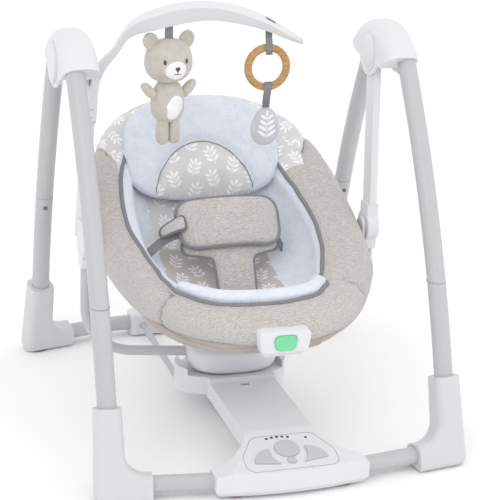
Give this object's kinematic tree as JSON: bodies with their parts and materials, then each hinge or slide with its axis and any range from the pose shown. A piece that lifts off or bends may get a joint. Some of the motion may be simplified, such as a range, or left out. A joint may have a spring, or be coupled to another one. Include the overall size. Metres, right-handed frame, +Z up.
{
  "type": "baby swing",
  "caption": "Compact folding baby swing: padded bucket seat on pivoting arms between bent tube legs, with a motor base, control panel, recline, vibration unit and toy bar.",
  "frame": {"origin": "on the floor under the middle of the overall box", "axes": "+Z up, front of the swing towards -Y, +X to the right seen from the front"},
  "size_m": [0.5812, 0.68, 0.6417],
  "materials": {
    "white_plastic": "satin",
    "grey_plastic": "satin",
    "grey_tube": "satin",
    "steel": "brushed",
    "rubber": "matt",
    "beige_fabric": "heather knit",
    "print_fabric": "printed woven",
    "plush": "plush",
    "webbing": "woven",
    "bear_fabric": "velour",
    "wood": "satin",
    "green_plastic": "satin",
    "board": "matt"
  },
  "bodies": {
    "front_frame": {"hub_shell_right": "white_plastic", "hub_shell_left": "white_plastic", "hub_axles": "white_plastic", "front_leg_right": "grey_tube", "front_leg_left": "grey_tube", "front_foot_right": "white_plastic", "front_foot_left": "white_plastic", "front_base_tubes": "grey_tube", "front_foot_pads": "rubber", "base_cover": "white_plastic", "base_tray": "white_plastic", "battery_door": "white_plastic", "dock_saddle": "white_plastic", "control_panel": "white_plastic", "circuit_board": "board", "batteries": "steel", "drive_coil": "steel"},
    "rear_frame": {"rear_leg_right": "grey_tube", "rear_leg_left": "grey_tube", "rear_knuckles": "white_plastic", "rear_foot_right": "white_plastic", "rear_foot_left": "white_plastic", "rear_foot_pads": "rubber", "rear_base_tube": "grey_tube", "rear_housing": "white_plastic", "link_rods": "grey_tube", "leg_snap_pins": "steel"},
    "swing_frame": {"swing_arm_right": "white_plastic", "swing_arm_left": "white_plastic", "drive_hub": "white_plastic", "drive_magnet": "steel", "support_tubes": "grey_tube"},
    "seat": {"side_bolster_right": "beige_fabric", "side_bolster_left": "beige_fabric", "front_bolster": "beige_fabric", "head_bolster": "print_fabric", "seat_pan": "white_plastic", "seat_liner": "print_fabric", "head_pillow": "plush", "waist_pad": "beige_fabric", "crotch_pad": "beige_fabric", "waist_straps": "webbing", "vibration_housing": "white_plastic", "toy_bar_socket": "white_plastic"},
    "vibration_button": {"vibration_button": "green_plastic"},
    "toy_bar": {"toy_bar": "white_plastic"},
    "bear": {"bear_strap": "webbing", "bear_head": "bear_fabric", "bear_body": "bear_fabric", "bear_ears": "bear_fabric", "bear_limbs": "bear_fabric"},
    "ring_toy": {"toy_ring": "wood", "ring_straps": "webbing"},
    "leaf": {"leaf_pendant": "print_fabric"},
    "fold_button_right": {"fold_button_right": "white_plastic"},
    "fold_button_left": {"fold_button_left": "white_plastic"},
    "power_button": {"power_button": "grey_plastic"},
    "speed_button": {"speed_button": "grey_plastic"},
    "sound_button": {"sound_button": "grey_plastic"},
    "timer_button": {"timer_button": "grey_plastic"}
  },
  "joints": [
    {"name": "fold", "type": "hinge", "parent": "front_frame", "child": "rear_frame", "pos_m": [0, 0.045, 0.57], "axis": [-1, 0, 0], "range_deg": [0, 30]},
    {"name": "swing", "type": "hinge", "parent": "front_frame", "child": "swing_frame", "pos_m": [0, 0.045, 0.57], "axis": [1, 0, 0], "range_deg": [-12, 12]},
    {"name": "recline", "type": "hinge", "parent": "swing_frame", "child": "seat", "pos_m": [0, 0.023, 0.284], "axis": [-1, 0, 0], "range_deg": [0, 10]},
    {"name": "toy_bar_swivel", "type": "hinge", "parent": "seat", "child": "toy_bar", "pos_m": [-0.219, 0.086, 0.462], "axis": [0.0644, 0, 0.9979], "range_deg": [-45, 0]},
    {"name": "bear_hang", "type": "hinge", "parent": "toy_bar", "child": "bear", "pos_m": [-0.092, 0.086, 0.6168], "axis": [1, 0, 0], "range_deg": [-20, 20]},
    {"name": "ring_hang", "type": "hinge", "parent": "toy_bar", "child": "ring_toy", "pos_m": [0.071, 0.086, 0.5961], "axis": [1, 0, 0], "range_deg": [-20, 20]},
    {"name": "leaf_hang", "type": "hinge", "parent": "ring_toy", "child": "leaf", "pos_m": [0.071, 0.086, 0.4733], "axis": [1, 0, 0], "range_deg": [-20, 20]},
    {"name": "vibration_press", "type": "slide", "parent": "seat", "child": "vibration_button", "axis": [0, 1, 0], "range_m": [0, 0.0015], "stiffness_N_per_m": 600, "springref_m": -0.002},
    {"name": "power_press", "type": "slide", "parent": "front_frame", "child": "power_button", "axis": [0, 0.2474, -0.9689], "range_m": [0, 0.0015], "stiffness_N_per_m": 600, "springref_m": -0.002},
    {"name": "speed_press", "type": "slide", "parent": "front_frame", "child": "speed_button", "axis": [0, 0.2474, -0.9689], "range_m": [0, 0.0015], "stiffness_N_per_m": 600, "springref_m": -0.002},
    {"name": "sound_press", "type": "slide", "parent": "front_frame", "child": "sound_button", "axis": [0, 0.2474, -0.9689], "range_m": [0, 0.0015], "stiffness_N_per_m": 600, "springref_m": -0.002},
    {"name": "timer_press", "type": "slide", "parent": "front_frame", "child": "timer_button", "axis": [0, 0.2474, -0.9689], "range_m": [0, 0.0015], "stiffness_N_per_m": 600, "springref_m": -0.002},
    {"name": "fold_press_right", "type": "slide", "parent": "front_frame", "child": "fold_button_right", "axis": [-1, 0, 0], "range_m": [0, 0.003], "stiffness_N_per_m": 800, "springref_m": -0.002},
    {"name": "fold_press_left", "type": "slide", "parent": "front_frame", "child": "fold_button_left", "axis": [1, 0, 0], "range_m": [0, 0.003], "stiffness_N_per_m": 800, "springref_m": -0.002}
  ]
}
